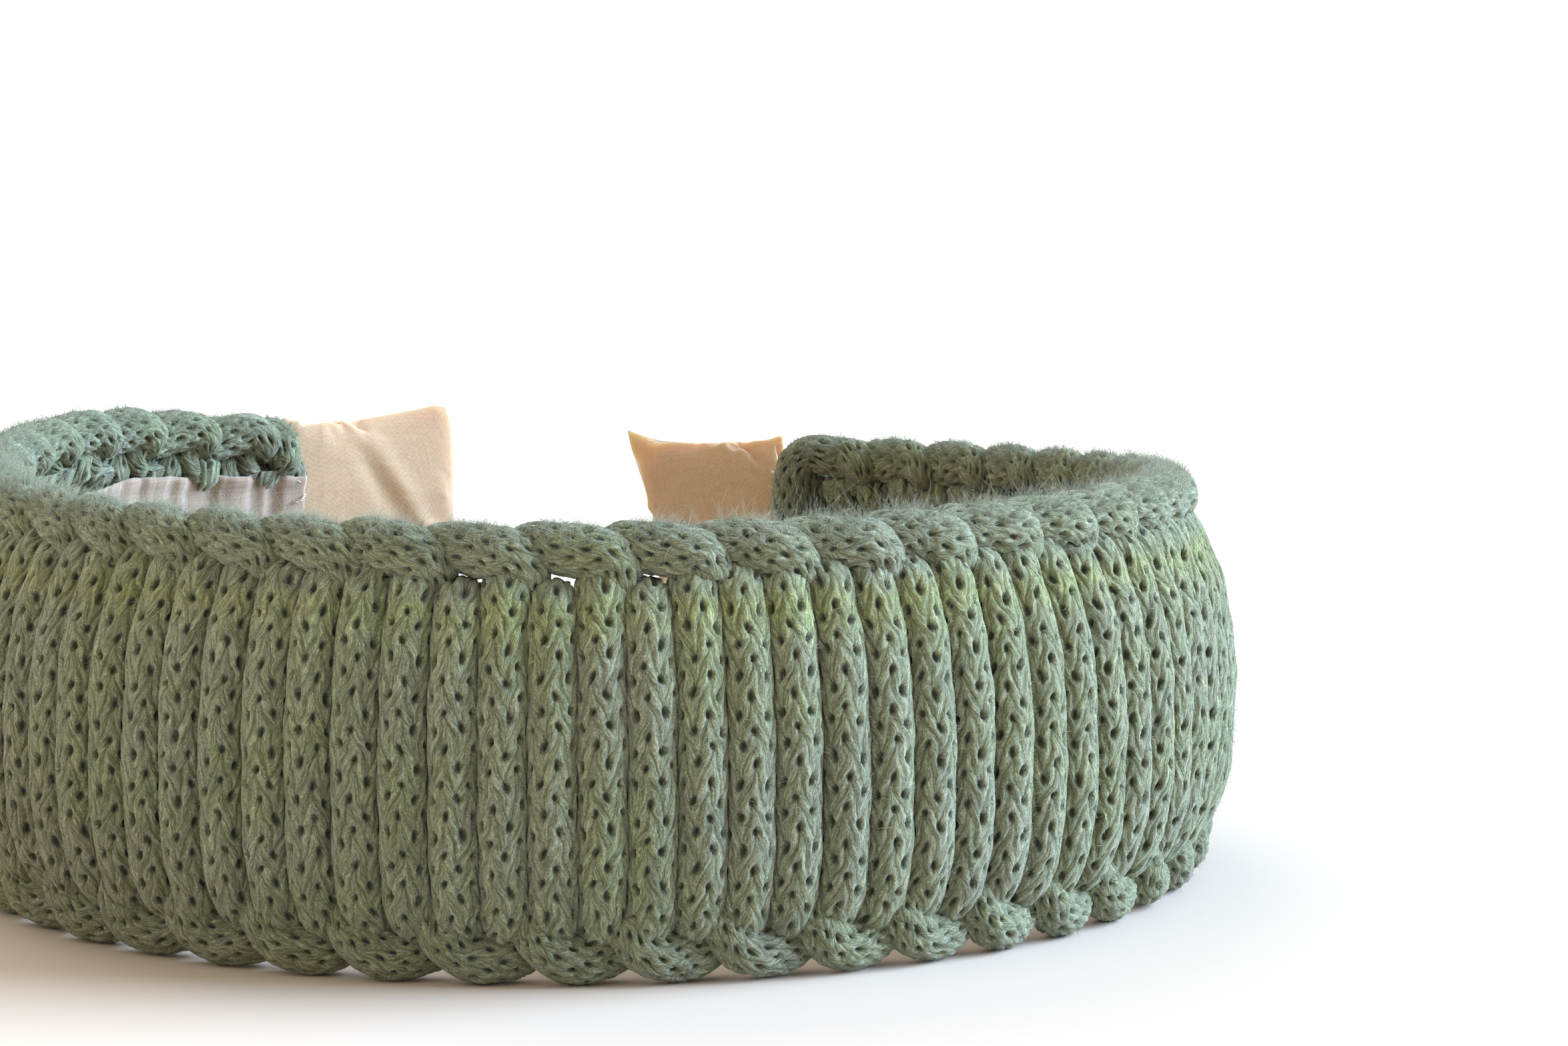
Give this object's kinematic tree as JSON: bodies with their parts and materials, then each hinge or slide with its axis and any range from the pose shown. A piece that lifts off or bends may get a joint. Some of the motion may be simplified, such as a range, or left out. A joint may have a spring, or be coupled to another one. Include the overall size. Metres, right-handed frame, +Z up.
{
  "type": "spa headband",
  "caption": "Open headband of knitted tube cord, worked as bowed upright cords between looped edges, with a cloth lining and cloth caps on its two ends.",
  "frame": {"origin": "centre of the band's footprint, on the surface that it stands on", "axes": "+Z up, away from the surface; front of the band (forehead) towards -Y; gap between the caps towards +Y; +X to the right seen from the front"},
  "size_m": [0.1858, 0.18, 0.0605],
  "materials": {
    "cord": "sage green knitted tube cord, soft and slightly fuzzy",
    "lining": "thin woven cotton tape, gathered",
    "cap_cloth": "plain woven linen cotton cloth, tan",
    "filling": "folded cord ends",
    "thread": "cotton sewing thread",
    "hook_tape": "nylon hook tape",
    "loop_tape": "nylon loop tape"
  },
  "bodies": {
    "front_band": {"lining_front": "lining", "cord_cell_15": "cord", "cord_cell_16": "cord", "cord_cell_17": "cord", "cord_cell_18": "cord", "cord_cell_19": "cord", "cord_cell_20": "cord", "cord_cell_21": "cord", "cord_cell_22": "cord", "cord_cell_23": "cord", "cord_cell_24": "cord"},
    "left_near_band": {"lining_left_near": "lining", "cord_cell_11": "cord", "cord_cell_12": "cord", "cord_cell_13": "cord", "cord_cell_14": "cord"},
    "left_side_band": {"lining_left_side": "lining", "cord_cell_07": "cord", "cord_cell_08": "cord", "cord_cell_09": "cord", "cord_cell_10": "cord"},
    "left_far_band": {"lining_left_far": "lining", "cord_cell_04": "cord", "cord_cell_05": "cord", "cord_cell_06": "cord"},
    "left_end_band": {"lining_left_end": "lining", "cord_cell_01": "cord", "cord_cell_02": "cord", "cord_cell_03": "cord", "left_cap_filling": "filling", "left_cap_inner_panel": "cap_cloth", "left_cap_outer_panel": "cap_cloth", "left_seam_stitches": "thread", "hook_patch": "hook_tape"},
    "right_near_band": {"lining_right_near": "lining", "cord_cell_25": "cord", "cord_cell_26": "cord", "cord_cell_27": "cord", "cord_cell_28": "cord"},
    "right_side_band": {"lining_right_side": "lining", "cord_cell_29": "cord", "cord_cell_30": "cord", "cord_cell_31": "cord", "cord_cell_32": "cord"},
    "right_far_band": {"lining_right_far": "lining", "cord_cell_33": "cord", "cord_cell_34": "cord", "cord_cell_35": "cord"},
    "right_end_band": {"lining_right_end": "lining", "cord_cell_36": "cord", "cord_cell_37": "cord", "cord_cell_38": "cord", "right_cap_filling": "filling", "right_cap_inner_panel": "cap_cloth", "right_cap_outer_panel": "cap_cloth", "right_seam_stitches": "thread", "loop_patch": "loop_tape"}
  },
  "joints": [
    {"name": "left_near_flex", "type": "hinge", "parent": "front_band", "child": "left_near_band", "pos_m": [-0.05724, -0.06471, 0.027], "axis": [0, 0, 1], "range_deg": [-6, 9], "stiffness_Nm_per_rad": 0.02},
    {"name": "left_side_flex", "type": "hinge", "parent": "left_near_band", "child": "left_side_band", "pos_m": [-0.08442, -0.02377, 0.027], "axis": [0, 0, 1], "range_deg": [-6, 9], "stiffness_Nm_per_rad": 0.02},
    {"name": "left_far_flex", "type": "hinge", "parent": "left_side_band", "child": "left_far_band", "pos_m": [-0.08557, 0.02536, 0.027], "axis": [0, 0, 1], "range_deg": [-6, 9], "stiffness_Nm_per_rad": 0.02},
    {"name": "left_end_flex", "type": "hinge", "parent": "left_far_band", "child": "left_end_band", "pos_m": [-0.06882, 0.05843, 0.027], "axis": [0, 0, 1], "range_deg": [-6, 9], "stiffness_Nm_per_rad": 0.02},
    {"name": "right_near_flex", "type": "hinge", "parent": "front_band", "child": "right_near_band", "pos_m": [0.05724, -0.06471, 0.027], "axis": [0, 0, -1], "range_deg": [-3.6, 9], "stiffness_Nm_per_rad": 0.02},
    {"name": "right_side_flex", "type": "hinge", "parent": "right_near_band", "child": "right_side_band", "pos_m": [0.08442, -0.02377, 0.027], "axis": [0, 0, -1], "range_deg": [-3.6, 9], "stiffness_Nm_per_rad": 0.02},
    {"name": "right_far_flex", "type": "hinge", "parent": "right_side_band", "child": "right_far_band", "pos_m": [0.08557, 0.02536, 0.027], "axis": [0, 0, -1], "range_deg": [-3.6, 9], "stiffness_Nm_per_rad": 0.02},
    {"name": "right_end_flex", "type": "hinge", "parent": "right_far_band", "child": "right_end_band", "pos_m": [0.06882, 0.05843, 0.027], "axis": [0, 0, -1], "range_deg": [-3.6, 9], "stiffness_Nm_per_rad": 0.02}
  ],
  "couplings": [
    {"joint": "left_side_flex", "follows": "left_near_flex", "ratio": 1},
    {"joint": "left_far_flex", "follows": "left_near_flex", "ratio": 1},
    {"joint": "left_end_flex", "follows": "left_near_flex", "ratio": 1},
    {"joint": "right_side_flex", "follows": "right_near_flex", "ratio": 1},
    {"joint": "right_far_flex", "follows": "right_near_flex", "ratio": 1},
    {"joint": "right_end_flex", "follows": "right_near_flex", "ratio": 1}
  ]
}
